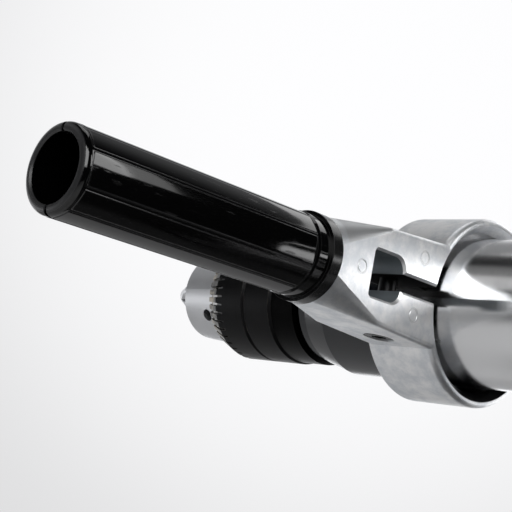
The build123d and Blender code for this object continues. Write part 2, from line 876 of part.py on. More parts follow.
# Valve bushing: brass sleeve that guides the stem and seats the valve head
with BuildPart() as valve_bushing:
    with BuildSketch(Plane.YZ.offset(valve_bushing_x)):
        with Locations((0, -valve_drop)):
            Circle(valve_bore_r)
            Circle(valve_port_r, mode=Mode.SUBTRACT)
    extrude(amount=valve_bushing_length)
    with BuildSketch(Plane.YZ.offset(trigger_pocket_x)):
        with Locations((0, -valve_drop)):
            Circle(valve_port_r)
            Circle(valve_stem_r + run_gap, mode=Mode.SUBTRACT)
    extrude(amount=-valve_guide_length)
    with BuildSketch(Plane((valve_x, 0, -valve_drop))):
        Circle(valve_side_port_r)
    extrude(amount=2 * valve_bore_r, mode=Mode.SUBTRACT)
finish(valve_bushing, "valve_bushing")

# Valve stem with its head, pushed off the seat by the trigger
valve_head_x = valve_bushing_x - face_gap
valve_head_rear_x = valve_head_x - valve_head_width
with BuildPart() as valve_stem:
    with BuildSketch(Plane.YZ.offset(valve_head_rear_x)):
        with Locations((0, -valve_drop)):
            Circle(valve_head_r)
    extrude(amount=valve_head_width)
    with BuildSketch(Plane.YZ.offset(valve_head_x)):
        with Locations((0, -valve_drop)):
            Circle(valve_stem_r)
    extrude(amount=trigger_rear_x + trigger_depth / 2 - face_gap - valve_head_x)
finish(valve_stem, "valve_stem")

# Valve spring: coil between the bore's end and the valve head
spring_rear_x = valve_end_x + spring_wire
spring_front_x = valve_head_rear_x - spring_wire
spring_length = spring_front_x - spring_rear_x
with BuildPart() as valve_spring:
    with BuildLine() as coil:
        Helix(
            pitch=spring_length / spring_turns,
            height=spring_length,
            radius=spring_r,
            center=(spring_rear_x, 0, -valve_drop),
            direction=(1, 0, 0),
        )
    with BuildSketch(Plane(coil.line @ 0, z_dir=coil.line % 0)):
        RegularPolygon(spring_wire / 2, 4)
    sweep()
finish(valve_spring, "valve_spring")
print("least gap between spring turns", round(spring_length / spring_turns - spring_wire, 2))

# Reversing spool: round bar across the housing, a button at each end
spool_half = grip_neck_width / 2 + spool_button
spool_axis = Axis((valve_x, 0, -spool_drop), (0, 1, 0))
spool_middle = spool_travel / 2
spool_waist = spool_waist_length / 2
with BuildPart() as reverse_spool:
    with BuildSketch(Plane.XY.offset(-spool_drop)):
        with BuildLine():
            Polyline(
                (valve_x, spool_middle - spool_half),
                (valve_x + spool_r - edge_break, spool_middle - spool_half),
                (valve_x + spool_r, spool_middle - spool_half + edge_break),
                (valve_x + spool_r, spool_middle - spool_waist),
                (valve_x + spool_waist_r, spool_middle - spool_waist),
                (valve_x + spool_waist_r, spool_middle + spool_waist),
                (valve_x + spool_r, spool_middle + spool_waist),
                (valve_x + spool_r, spool_middle + spool_half - edge_break),
                (valve_x + spool_r - edge_break, spool_middle + spool_half),
                (valve_x, spool_middle + spool_half),
                close=True,
            )
        make_face()
    revolve(axis=spool_axis)
finish(reverse_spool, "reverse_spool")

# Inlet bushing: hexagon with the hose thread, screwed up into the grip
deflector_z = -grip_base_drop - deflector_height
inlet_z = deflector_z - inlet_hex_height
with BuildPart() as inlet_bushing:
    with BuildSketch(Plane((inlet_x, 0, deflector_z))):
        Circle(inlet_spigot_r)
    extrude(amount=inlet_seat_z - deflector_z)
    with BuildSketch(Plane((inlet_x, 0, deflector_z))):
        RegularPolygon(inlet_hex / 2, 6, major_radius=False)
    extrude(amount=-inlet_hex_height)
    with BuildSketch(Plane((inlet_x, 0, inlet_z))):
        Circle(inlet_thread_r)
    extrude(amount=inlet_thread_length, mode=Mode.SUBTRACT)
    with BuildSketch(Plane((inlet_x, 0, inlet_z))):
        Circle(inlet_passage_r)
    extrude(amount=inlet_seat_z - inlet_z, mode=Mode.SUBTRACT)
finish(inlet_bushing, "inlet_bushing")

# Inlet screen: pierced disc above the bushing
with BuildPart() as inlet_screen:
    with BuildSketch(Plane((inlet_x, 0, inlet_seat_z))):
        Circle(inlet_spigot_r)
        with PolarLocations(screen_hole_ring_r, screen_hole_count):
            Rectangle(screen_hole, screen_hole, mode=Mode.SUBTRACT)
    extrude(amount=screen_width)
finish(inlet_screen, "inlet_screen")

# Exhaust deflector: hollow cap under the grip, slotted at the back
base_x = grip_x - grip_rake
with BuildPart() as exhaust_deflector:
    with BuildSketch(Plane((base_x, 0, deflector_z))):
        RectangleRounded(grip_base_depth, grip_base_width, grip_corner_r)
    extrude(amount=deflector_height)
    with BuildSketch(Plane((base_x, 0, -grip_base_drop))):
        RectangleRounded(
            grip_base_depth - 2 * deflector_wall,
            grip_base_width - 2 * deflector_wall,
            grip_corner_r - deflector_wall,
        )
    extrude(amount=deflector_wall - deflector_height, mode=Mode.SUBTRACT)
    with BuildSketch(Plane((inlet_x, 0, deflector_z))):
        Circle(inlet_spigot_r + deflector_wall)
    extrude(amount=deflector_height)
    with BuildSketch(Plane((inlet_x, 0, deflector_z))):
        Circle(inlet_spigot_r + seat_gap)
    extrude(amount=deflector_height, mode=Mode.SUBTRACT)
    with BuildSketch(Plane.YZ.offset(base_x - grip_base_depth / 2)):
        with Locations((0, deflector_z + deflector_height / 2)):
            with GridLocations(2 * deflector_slot, 1, deflector_slot_count, 1):
                Rectangle(deflector_slot, deflector_height - 2 * deflector_wall)
    extrude(amount=deflector_slot_depth, mode=Mode.SUBTRACT)
finish(exhaust_deflector, "exhaust_deflector")

# Handle bracket: split clamp ring, two arms round a window, square-to-round neck, spigot
across_handle = {"x_dir": (1, 0, 0), "z_dir": (0, 1, 0)}
half_ring = ring_width / 2
half_slit = slit_width / 2
half_window = window_height / 2
arm_bend = arm_corner_r * (1 - math.sqrt(0.5))
neck_flat = math.sqrt(neck_r**2 - half_ring**2)
neck_bend = half_ring - neck_r * math.sqrt(0.5)


def arm_section(reach, half_z, corner_x, corner_z, bend):
    """Section across the arms: four flats, each pair joined by a corner arc."""
    arc_x = half_ring - bend
    arc_z = half_z - bend
    with BuildSketch(Plane((clamp_x, reach, 0), **across_handle)) as section:
        with BuildLine():
            Line((half_ring, -corner_z), (half_ring, corner_z))
            ThreePointArc((half_ring, corner_z), (arc_x, arc_z), (corner_x, half_z))
            Line((corner_x, half_z), (-corner_x, half_z))
            ThreePointArc((-corner_x, half_z), (-arc_x, arc_z), (-half_ring, corner_z))
            Line((-half_ring, corner_z), (-half_ring, -corner_z))
            ThreePointArc((-half_ring, -corner_z), (-arc_x, -arc_z), (-corner_x, -half_z))
            Line((-corner_x, -half_z), (corner_x, -half_z))
            ThreePointArc((corner_x, -half_z), (arc_x, -arc_z), (half_ring, -corner_z))
        make_face()
    return section.sketch


def plate_section(reach, half_z):
    """Section of the flat arms, whose corners are small and round."""
    return arm_section(reach, half_z, half_ring - arm_corner_r, half_z - arm_corner_r, arm_bend)


with BuildPart() as handle_bracket:
    with BuildSketch() as ring_outline:
        with BuildLine():
            Polyline(
                (clamp_x - half_ring, barrel_r - overcut),
                (clamp_x - half_ring, ring_r),
                (clamp_x + half_ring, ring_r),
                (clamp_x + half_ring, barrel_r - overcut),
                close=True,
            )
        make_face()
        outer_corners = ring_outline.vertices().group_by(Axis.Y)[-1].sort_by(Axis.X)
        fillet(outer_corners[0], radius=ring_rim_r)
        chamfer(outer_corners[-1], length=ring_edge)
    revolve(axis=Axis.X)
    loft(
        [
            plate_section(barrel_r, arm_root_height / 2),
            plate_section(arm_reach, arm_height / 2),
            arm_section(neck_reach, half_ring, neck_flat, neck_flat, neck_bend),
        ],
        ruled=True,
    )
    with BuildSketch(Plane((clamp_x, neck_reach, 0), **across_handle)):
        Circle(spigot_r)
    extrude(amount=spigot_reach - neck_reach)
    revolve(
        profile(
            [
                (clamp_x - half_ring, 0),
                (clamp_x - half_ring, ring_mouth_r),
                (clamp_x - half_ring + ring_mouth_depth, barrel_r + ring_relief),
                (clamp_x - half_ring + ring_relief_depth, barrel_r + ring_relief),
                (clamp_x - half_ring + ring_relief_depth, barrel_r + run_gap),
                (clamp_x + half_ring, barrel_r + run_gap),
                (clamp_x + half_ring, 0),
            ]
        ),
        axis=Axis.X,
        mode=Mode.SUBTRACT,
    )
    with BuildSketch(Plane.YZ.offset(clamp_x - half_ring)) as window:
        with Locations(((window_near + window_far) / 2, 0)):
            Rectangle(window_far - window_near, window_height)
        fillet(window.vertices().group_by(Axis.X)[0], radius=window_corner_r)
        fillet(window.vertices().group_by(Axis.X)[-1], radius=window_far_corner_r)
    extrude(amount=ring_width, mode=Mode.SUBTRACT)
    plates = handle_bracket.edges().group_by(Axis.X)
    rims = plates[0] + plates[-1]
    rims = rims.filter_by_position(Axis.Y, window_near - window_edge, window_far + window_edge)
    rims = rims.filter_by_position(Axis.Z, -half_window - window_edge, half_window + window_edge)
    chamfer(rims, length=window_edge)
    with BuildSketch(Plane((clamp_x, 0, 0), **across_handle)):
        with BuildLine():
            Polyline(
                (-half_ring, -half_slit - window_edge),
                (window_edge - half_ring, -half_slit),
                (half_ring - window_edge, -half_slit),
                (half_ring, -half_slit - window_edge),
                (half_ring, half_slit + window_edge),
                (half_ring - window_edge, half_slit),
                (window_edge - half_ring, half_slit),
                (-half_ring, half_slit + window_edge),
                close=True,
            )
        make_face()
    extrude(amount=window_near + window_corner_r, mode=Mode.SUBTRACT)
    with BuildSketch(Plane((clamp_x, clamp_screw_reach, -arm_root_height))):
        Circle(clamp_screw_r + seat_gap)
    extrude(amount=2 * arm_root_height, mode=Mode.SUBTRACT)
    with BuildSketch(Plane((clamp_x, clamp_screw_reach, clamp_pocket_depth - arm_root_height / 2))):
        Circle(clamp_head_r + face_gap)
    extrude(amount=-arm_root_height, mode=Mode.SUBTRACT)
    with BuildSketch(Plane((clamp_x, clamp_screw_reach, arm_root_height / 2 - clamp_pocket_depth))):
        RegularPolygon(clamp_nut_hex / 2 + seat_gap, 6, major_radius=False)
    extrude(amount=arm_root_height, mode=Mode.SUBTRACT)
    with BuildSketch(Plane((clamp_x, spigot_reach, 0), **across_handle)):
        Circle(handle_screw_r + seat_gap)
    extrude(amount=-handle_screw_length, mode=Mode.SUBTRACT)
    with BuildSketch(Plane.YZ.offset(clamp_x - half_ring)):
        with Locations(*ejector_marks):
            Circle(ejector_mark_r)
            Circle(ejector_mark_r - ejector_mark_width, mode=Mode.SUBTRACT)
    extrude(amount=ejector_mark_depth, mode=Mode.SUBTRACT)
finish(handle_bracket, "handle_bracket")

# Clamp screw and nut, drawing the two arms together
clamp_socket_z = clamp_pocket_depth - arm_root_height / 2 - clamp_head_height + clamp_socket_depth
with BuildPart() as clamp_screw:
    with BuildSketch(Plane((clamp_x, clamp_screw_reach, clamp_pocket_depth - arm_root_height / 2))):
        Circle(clamp_head_r)
    extrude(amount=-clamp_head_height)
    with BuildSketch(Plane((clamp_x, clamp_screw_reach, clamp_pocket_depth - arm_root_height / 2))):
        Circle(clamp_screw_r)
    extrude(amount=arm_root_height - 2 * clamp_pocket_depth + clamp_nut_height)
    with BuildSketch(Plane((clamp_x, clamp_screw_reach, -arm_root_height))):
        RegularPolygon(clamp_socket_hex / 2, 6, major_radius=False)
    extrude(amount=clamp_socket_z + arm_root_height, mode=Mode.SUBTRACT)
finish(clamp_screw, "clamp_screw")

with BuildPart() as clamp_nut:
    with BuildSketch(Plane((clamp_x, clamp_screw_reach, arm_root_height / 2 - clamp_pocket_depth))):
        RegularPolygon(clamp_nut_hex / 2, 6, major_radius=False)
        Circle(clamp_screw_r + seat_gap, mode=Mode.SUBTRACT)
    extrude(amount=clamp_nut_height)
finish(clamp_nut, "clamp_nut")

# Grip shells: front and rear half of a hollow handle with slightly rounded finger panels
handle_end = neck_reach + handle_length
collar_end = neck_reach + handle_flange_width + handle_collar_width
panel_end = handle_end - handle_rim_width
ledge_end = spigot_reach + handle_ledge_width
for name, side in (("handle_front_half", 1), ("handle_rear_half", -1)):
    with BuildPart() as handle_half:
        with BuildSketch() as shell:
            with BuildLine():
                Polyline(
                    (clamp_x + spigot_r + seat_gap, neck_reach),
                    (clamp_x + handle_flange_r, neck_reach),
                    (clamp_x + handle_flange_r, neck_reach + handle_flange_width),
                    (clamp_x + handle_collar_r, neck_reach + handle_flange_width),
                    (clamp_x + handle_collar_r, collar_end - edge_break),
                    (clamp_x + handle_r, collar_end),
                    (clamp_x + handle_r, handle_end),
                    (clamp_x + handle_bore_r, handle_end),
                    (clamp_x + handle_bore_r, ledge_end),
                    (clamp_x + handle_screw_r + face_gap, ledge_end),
                    (clamp_x + handle_screw_r + face_gap, spigot_reach),
                    (clamp_x + spigot_r + seat_gap, spigot_reach),
                    close=True,
                )
            make_face()
            end_corners = shell.vertices().group_by(Axis.Y)[-1].sort_by(Axis.X)
            chamfer(end_corners[0], length=handle_mouth_edge)
            fillet(end_corners[-1], radius=handle_end_r)
        revolve(axis=side_axis)
        for turn, half_angle in handle_panels:
            depth = handle_r * math.cos(math.radians(half_angle))
            half_width = handle_r * math.sin(math.radians(half_angle))
            angle = math.radians(turn)
            out = Vector(side * math.cos(angle), 0, math.sin(angle))
            with BuildSketch(Plane((clamp_x, collar_end, 0), x_dir=out, z_dir=(0, 1, 0))):
                with BuildLine():
                    ThreePointArc(
                        (depth, -half_width),
                        (depth + handle_panel_crown, 0),
                        (depth, half_width),
                    )
                    Polyline(
                        (depth, half_width),
                        (handle_flange_r, half_width),
                        (handle_flange_r, -half_width),
                        (depth, -half_width),
                    )
                make_face()
            extrude(amount=panel_end - collar_end, mode=Mode.SUBTRACT)
        with BuildSketch(Plane((clamp_x, handle_end, 0), **across_handle)):
            Rectangle(handle_notch_width, 2 * handle_flange_r)
        extrude(amount=-handle_notch_depth, mode=Mode.SUBTRACT)
        split(
            bisect_by=Plane((clamp_x + side * handle_seam / 2, 0, 0), z_dir=(side, 0, 0)),
            keep=Keep.TOP,
        )
    finish(handle_half, name)

# Washer and screw deep in the handle, holding both shells on the spigot
washer_end = ledge_end + handle_washer_width
with BuildPart() as handle_washer:
    with BuildSketch(Plane((clamp_x, ledge_end, 0), **across_handle)):
        Circle(handle_washer_r)
        Circle(handle_screw_r + seat_gap, mode=Mode.SUBTRACT)
    extrude(amount=handle_washer_width)
finish(handle_washer, "handle_washer")

with BuildPart() as handle_screw:
    with BuildSketch(Plane((clamp_x, washer_end, 0), **across_handle)):
        Circle(handle_screw_head_r)
    extrude(amount=handle_screw_head_height)
    with BuildSketch(Plane((clamp_x, washer_end, 0), **across_handle)):
        Circle(handle_screw_r)
    extrude(amount=-handle_screw_length)
finish(handle_screw, "handle_screw")
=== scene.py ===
import json
import math

import bmesh
import bpy
from mathutils import Matrix, Vector


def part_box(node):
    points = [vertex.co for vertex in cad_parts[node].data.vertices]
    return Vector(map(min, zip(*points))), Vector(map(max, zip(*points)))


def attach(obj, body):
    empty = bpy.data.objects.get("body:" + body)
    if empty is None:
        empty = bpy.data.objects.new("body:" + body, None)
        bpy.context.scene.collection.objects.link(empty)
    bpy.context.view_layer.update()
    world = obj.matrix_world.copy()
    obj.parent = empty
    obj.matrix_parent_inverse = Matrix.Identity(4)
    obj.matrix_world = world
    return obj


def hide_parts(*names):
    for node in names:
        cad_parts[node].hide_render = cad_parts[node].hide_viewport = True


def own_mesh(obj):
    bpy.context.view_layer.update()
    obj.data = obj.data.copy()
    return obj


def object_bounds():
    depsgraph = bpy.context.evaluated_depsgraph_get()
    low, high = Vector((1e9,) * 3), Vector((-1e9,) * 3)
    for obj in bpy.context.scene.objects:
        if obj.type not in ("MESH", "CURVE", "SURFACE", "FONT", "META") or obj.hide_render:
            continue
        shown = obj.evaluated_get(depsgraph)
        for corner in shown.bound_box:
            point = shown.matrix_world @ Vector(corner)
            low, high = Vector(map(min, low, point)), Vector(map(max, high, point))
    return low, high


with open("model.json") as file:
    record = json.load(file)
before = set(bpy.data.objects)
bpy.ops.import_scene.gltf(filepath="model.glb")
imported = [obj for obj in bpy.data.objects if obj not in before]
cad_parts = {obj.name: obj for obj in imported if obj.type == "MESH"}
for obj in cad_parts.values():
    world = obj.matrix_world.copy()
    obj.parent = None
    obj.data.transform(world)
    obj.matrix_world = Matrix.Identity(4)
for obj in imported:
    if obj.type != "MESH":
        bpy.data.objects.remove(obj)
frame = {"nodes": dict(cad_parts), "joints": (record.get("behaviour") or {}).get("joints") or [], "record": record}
nodes = frame["nodes"]
cad_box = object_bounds()


# Motor housing: barrel and pistol grip cast in one piece of aluminium, then belt
# ground and buffed to a mirror. The belt leaves faint rings round the barrel, and
# handling leaves duller patches and a few short scratches.
class Shade:
    """A socket of a finish. Arithmetic on it adds Math nodes, node() adds any other."""

    def __init__(self, socket):
        self.socket = socket

    def node(self, kind, settings=None, values=None, output=0):
        tree = self.socket.id_data
        made = tree.nodes.new("ShaderNode" + kind)
        for name, setting in (settings or {}).items():
            setattr(made, name, setting)
        for name, value in (values or {}).items():
            if isinstance(value, Shade):
                tree.links.new(value.socket, made.inputs[name])
            else:
                made.inputs[name].default_value = value
        return Shade(made.outputs[output])

    def math(self, operation, first, second=0.0):
        return self.node("Math", {"operation": operation}, {0: first, 1: second})

    def __add__(self, other):
        return self.math("ADD", self, other)

    def __radd__(self, other):
        return self.math("ADD", other, self)

    def __sub__(self, other):
        return self.math("SUBTRACT", self, other)

    def __rsub__(self, other):
        return self.math("SUBTRACT", other, self)

    def __mul__(self, other):
        return self.math("MULTIPLY", self, other)

    def __rmul__(self, other):
        return self.math("MULTIPLY", other, self)

    def __pow__(self, other):
        return self.math("POWER", self, other)

    def between(self, low, high):
        """0 below low, 1 above high, smooth in between; swapped limits turn it round."""
        values = {"Value": self, "From Min": low, "From Max": high}
        return self.node("MapRange", {"interpolation_type": "SMOOTHSTEP"}, values)

    def within(self, low, high, fade):
        """1 from low to high, falling to 0 over the width fade on both sides."""
        return self.between(low - fade, low) * self.between(high + fade, high)

    def above(self, level, fade):
        """0 to 1 over the width fade on both sides of the level."""
        return self.between(level - fade, level + fade)

    def below(self, level, fade):
        """1 to 0 over the width fade on both sides of the level."""
        return self.between(level + fade, level - fade)

    def most(self, other):
        return self.math("MAXIMUM", self, other)

    def size(self):
        return self.math("ABSOLUTE", self)

    def axis(self, name):
        return self.node("SeparateXYZ", None, {"Vector": self}, name)

    def dot(self, other):
        return self.node("VectorMath", {"operation": "DOT_PRODUCT"}, {0: self, 1: other}, "Value")

    def stretched(self, x, y, z):
        return self.node("VectorMath", {"operation": "MULTIPLY"}, {0: self, 1: (x, y, z)})

    def noise(self, scale, detail=2.0, roughness=0.5):
        values = {"Vector": self, "Scale": scale, "Detail": detail, "Roughness": roughness}
        return self.node("TexNoise", None, values, "Fac")

    def blend(self, first, second):
        """Colour between two colours, with this socket as the share of the second."""
        share, first_colour, second_colour, mixed_colour = 0, 6, 7, 2
        values = {share: self, first_colour: first, second_colour: second}
        return self.node("Mix", {"data_type": "RGBA"}, values, mixed_colour)

    def bump(self, strength, distance):
        values = {"Height": self, "Strength": strength, "Distance": distance}
        return self.node("Bump", None, values, "Normal")


def start_finish(name, constants):
    """New material: the material, its shader and the place on the piece in metres."""
    material = bpy.data.materials.new(name)
    material.use_nodes = True
    tree = material.node_tree
    shader = tree.nodes["Principled BSDF"]
    for socket, value in constants.items():
        shader.inputs[socket].default_value = value
    return material, shader, Shade(tree.nodes.new("ShaderNodeTexCoord").outputs["Object"])


def feed(shader, name, shade):
    shader.id_data.links.new(shade.socket, shader.inputs[name])


def dress(names, material):
    """Gives CAD nodes their finish."""
    for name in names:
        nodes[name].material_slots[0].material = material


buffed_dull = (0.72, 0.722, 0.728, 1)
buffed_bright = (0.82, 0.822, 0.828, 1)
polish, shader, place = start_finish("polished_aluminium_buffed", {"Metallic": 1.0})
cloud = place.noise(scale=26.0, detail=4.0)
belt = place.stretched(1.0, 0.06, 0.06).noise(scale=2600.0, detail=3.0, roughness=0.65)
smear = place.noise(scale=70.0, detail=5.0, roughness=0.6).between(0.56, 0.74)
scratch = place.stretched(0.25, 1.0, 1.0).noise(scale=420.0, detail=1.0).between(0.735, 0.765)
feed(shader, "Base Color", cloud.blend(buffed_dull, buffed_bright))
feed(shader, "Roughness", 0.155 + belt * 0.06 + smear * 0.06 + scratch * 0.08)
feed(shader, "Normal", (belt * 0.35 + cloud * 4.0 - scratch * 0.5).bump(strength=0.05, distance=0.0006))
dress(["motor_housing"], polish)


# Gear case: aluminium turned all over and coated in dark satin grey, screwed into
# the front of the housing. The coating has a fine even grain and slight rub marks.
def edge_wear(place, radius, blunt=0.99, sharp=0.90):
    """1 along the edges of the piece, 0 on its open faces."""
    rounded = place.node("Bevel", None, {"Radius": radius})
    return rounded.dot(place.node("NewGeometry", None, None, "Normal")).between(blunt, sharp)


coat_thick = (0.004, 0.005, 0.0075, 1)
coat_thin = (0.009, 0.0105, 0.0135, 1)
case_metal = (0.10, 0.105, 0.115, 1)
coat, shader, place = start_finish("case_coating", {"IOR": 1.6})
grain = place.noise(scale=2400.0)
rub = place.stretched(0.3, 1.0, 1.0).noise(scale=95.0, detail=5.0, roughness=0.6)
worn = edge_wear(place, radius=0.0003) * rub.between(0.45, 0.65)
feed(shader, "Base Color", worn.blend(rub.between(0.35, 0.7).blend(coat_thick, coat_thin), case_metal))
feed(shader, "Roughness", 0.10 + rub * 0.10)
feed(shader, "Normal", grain.bump(strength=0.12, distance=0.0003))
dress(["gear_case"], coat)


# Motor: cylinder and end plates of cast iron, turned and ground flat, stacked in the
# barrel. Their pores and tool marks show through a film of oil.
def radius_of(place):
    """Distance from the spindle axis."""
    across = place.axis("Y") ** 2.0 + place.axis("Z") ** 2.0
    return across ** 0.5


iron_pore = (0.13, 0.13, 0.135, 1)
iron_face = (0.36, 0.355, 0.35, 1)
tool_radians_per_metre = 9000.0
iron, shader, place = start_finish("oiled_iron", {"Metallic": 1.0})
pores = place.noise(scale=900.0, detail=6.0, roughness=0.7)
tool_path = radius_of(place) * tool_radians_per_metre
tool_marks = tool_path.math("SINE", tool_path)
feed(shader, "Base Color", pores.blend(iron_pore, iron_face))
feed(shader, "Roughness", 0.32 + pores * 0.2)
feed(shader, "Normal", (pores + tool_marks * 0.2).bump(strength=0.2, distance=0.0003))
dress(["motor_cylinder", "rear_end_plate", "front_end_plate"], iron)

# Vanes: five blades sawn from brown resin laminate, loose in the slots of the rotor.
# The layers of the laminate show as fine stripes along each blade.
resin_dark = (0.12, 0.055, 0.022, 1)
resin_light = (0.26, 0.14, 0.06, 1)
laminate, shader, place = start_finish("resin_laminate", {"IOR": 1.54})
layers = place.stretched(0.15, 1.0, 1.0).noise(scale=4200.0)
feed(shader, "Base Color", layers.between(0.35, 0.65).blend(resin_dark, resin_light))
feed(shader, "Roughness", 0.42 + layers * 0.2)
feed(shader, "Normal", layers.bump(strength=0.15, distance=0.0002))
dress(["rotor_vanes"], laminate)

# Rotor, gears, pins, spindle, chuck nut and valve stem: hardened and ground steel under
# a film of grease, pressed, keyed or slid into one another.
steel_clean = (0.56, 0.555, 0.55, 1)
steel_greased = (0.40, 0.37, 0.32, 1)
ground, shader, place = start_finish("ground_steel", {"Metallic": 1.0})
grind = place.stretched(1.0, 0.1, 0.1).noise(scale=3000.0, roughness=0.6)
grease = place.noise(scale=120.0, detail=4.0, roughness=0.6).between(0.5, 0.72)
feed(shader, "Base Color", grease.blend(steel_clean, steel_greased))
feed(shader, "Roughness", 0.22 + grind * 0.16 - grease * 0.08)
feed(shader, "Normal", grind.bump(strength=0.12, distance=0.0002))
steel_pieces = ["ring_gear", "rotor", "rotor_pinion", "first_carrier", "spindle", "chuck_nut"]
steel_pieces += ["first_planet_pins", "second_planet_pins", "valve_stem"]
for count in (1, 2, 3):
    steel_pieces += [f"first_planet_gear_{count}", f"second_planet_gear_{count}"]
dress(steel_pieces, ground)

# Valve spring: wound from round steel wire, with its end turns closed up, so that it
# stands straight in the grip's bore.
trigger_pull = next(joint for joint in frame["joints"] if joint["name"] == "trigger_pull")
spring_low, spring_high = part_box("valve_spring")
spring_foot = trigger_pull["deforming_nodes"][0]["fixed_end_x_m"]
spring_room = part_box("valve_stem")[0].x - spring_foot
spring_wire = 0.0009
spring_middle = (spring_low + spring_high) / 2
spring_r = (spring_high.z - spring_low.z - spring_wire) / 2
spring_height = spring_high.x - spring_low.x - spring_wire
wires_per_closed_turn = 1.1
closed_pitch = spring_wire * wires_per_closed_turn
open_turns = 4
open_pitch = (spring_height - 2 * closed_pitch) / open_turns
wire_sides = 8
turn_steps = 32
wire_start = Vector((spring_low.x + spring_wire / 2, 0.0, spring_middle.z + spring_r))
form = bmesh.new()
bmesh.ops.create_circle(
    form,
    segments=wire_sides,
    radius=spring_wire / 2,
    matrix=Matrix.Translation(wire_start) @ Matrix.Rotation(math.pi / 2, 4, "X"),
)
wire_end = form.edges[:]
for turns, pitch in ((1, closed_pitch), (open_turns, open_pitch), (1, closed_pitch)):
    wound = bmesh.ops.spin(
        form,
        geom=wire_end,
        cent=spring_middle,
        axis=(1.0, 0.0, 0.0),
        dvec=(pitch / turn_steps, 0.0, 0.0),
        angle=2 * math.pi * turns,
        steps=turn_steps * turns,
    )
    wire_end = [piece for piece in wound["geom_last"] if isinstance(piece, bmesh.types.BMEdge)]
bmesh.ops.holes_fill(form, edges=form.edges[:], sides=wire_sides)
bmesh.ops.recalc_face_normals(form, faces=form.faces[:])
for face in form.faces:
    face.smooth = True
spring_mesh = bpy.data.meshes.new("valve_coil")
form.to_mesh(spring_mesh)
form.free()
spring_mesh.materials.append(ground)
valve_coil = bpy.data.objects.new("valve_coil", spring_mesh)
bpy.context.scene.collection.objects.link(valve_coil)
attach(valve_coil, "housing")
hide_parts("valve_spring")
1.0 - trigger_pull["range_m"][1] / spring_room
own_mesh(valve_coil)

# Bearings: bright rings of hardened steel, ground and polished, pressed on the journals
# of rotor and spindle and into their seats.
race_dull = (0.62, 0.62, 0.63, 1)
race_bright = (0.74, 0.74, 0.745, 1)
race, shader, place = start_finish("bearing_steel", {"Metallic": 1.0})
turn_lines = place.noise(scale=1800.0)
feed(shader, "Base Color", turn_lines.blend(race_dull, race_bright))
feed(shader, "Roughness", 0.12 + turn_lines * 0.12)
feed(shader, "Normal", turn_lines.bump(strength=0.06, distance=0.0002))
dress(["rotor_rear_bearing", "rotor_front_bearing"], race)
dress(["spindle_rear_bearing", "spindle_front_bearing"], race)

# Chuck: steel body and jaws, turned on a lathe. The nose is left bare, a soft matt silver
# with fine rings, and the tail behind the sleeve is painted black as shade. Screwed on the
# spindle and locked by the screw inside.
painted_tail_shade = (0.0004, 0.0004, 0.0004, 1)
nose_dull = (0.58, 0.585, 0.60, 1)
nose_bright = (0.68, 0.685, 0.70, 1)
tail_cover = 0.0005
tail_fade = 0.0010
tail_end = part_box("chuck_sleeve")[0].x + tail_cover
turned, shader, place = start_finish("turned_steel", {"Metallic": 1.0})
rings = place.stretched(1.0, 0.02, 0.02).noise(scale=3400.0, roughness=0.6)
stain = place.noise(scale=90.0, detail=5.0, roughness=0.65)
nose = place.axis("X").between(tail_end, tail_end + tail_fade)
feed(shader, "Base Color", nose.blend(painted_tail_shade, stain.blend(nose_dull, nose_bright)))
feed(shader, "Roughness", 0.30 + rings * 0.14 + stain * 0.06)
feed(shader, "Normal", rings.bump(strength=0.12, distance=0.0003))
dress(["chuck_body", "chuck_jaw_1", "chuck_jaw_2", "chuck_jaw_3"], turned)

# Sleeve: turned ring with the key teeth at its front, pressed on the split nut and
# chemically blackened. The blacking is rubbed to a brownish steel where the key bites.
black_thick = (0.004, 0.004, 0.0045, 1)
black_thin = (0.010, 0.010, 0.0105, 1)
tooth_metal = (0.28, 0.25, 0.20, 1)
tooth_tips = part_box("chuck_sleeve")[1].x
tooth_length = 0.0075
tooth_roots = tooth_tips - tooth_length
key_reach = tooth_tips - tooth_length / 3
blacked, shader, place = start_finish("blacked_steel", {"Metallic": 0.85})
film = place.noise(scale=150.0, detail=5.0, roughness=0.6)
ring_marks = place.stretched(1.0, 0.02, 0.02).noise(scale=2600.0)
bitten = place.axis("X").between(tooth_roots, key_reach) * film.between(0.35, 0.6)
rubbed = edge_wear(place, radius=0.0003) * film.between(0.45, 0.7) * 0.6
feed(shader, "Base Color", bitten.most(rubbed).blend(film.blend(black_thick, black_thin), tooth_metal))
feed(shader, "Roughness", 0.34 + film * 0.14)
feed(shader, "Normal", (ring_marks + film * 0.4).bump(strength=0.10, distance=0.0003))
dress(["chuck_sleeve"], blacked)

# Screws, nut, washer, bearing retainer and reversing spool: turned steel, zinc plated and
# blackened. The plating is patchy and rubbed bright along the edges.
zinc_thick = (0.010, 0.010, 0.011, 1)
zinc_thin = (0.030, 0.030, 0.031, 1)
zinc_rubbed = (0.24, 0.235, 0.22, 1)
zinc, shader, place = start_finish("black_zinc", {"Metallic": 0.8})
patina = place.noise(scale=420.0, detail=4.0, roughness=0.6)
bright_edge = edge_wear(place, radius=0.0002) * 0.6
feed(shader, "Base Color", bright_edge.blend(patina.blend(zinc_thick, zinc_thin), zinc_rubbed))
feed(shader, "Roughness", 0.28 + patina * 0.2)
feed(shader, "Normal", patina.bump(strength=0.08, distance=0.0002))
dress(["chuck_screw", "clamp_screw", "clamp_nut", "handle_washer", "handle_screw"], zinc)
dress(["bearing_retainer", "reverse_spool"], zinc)

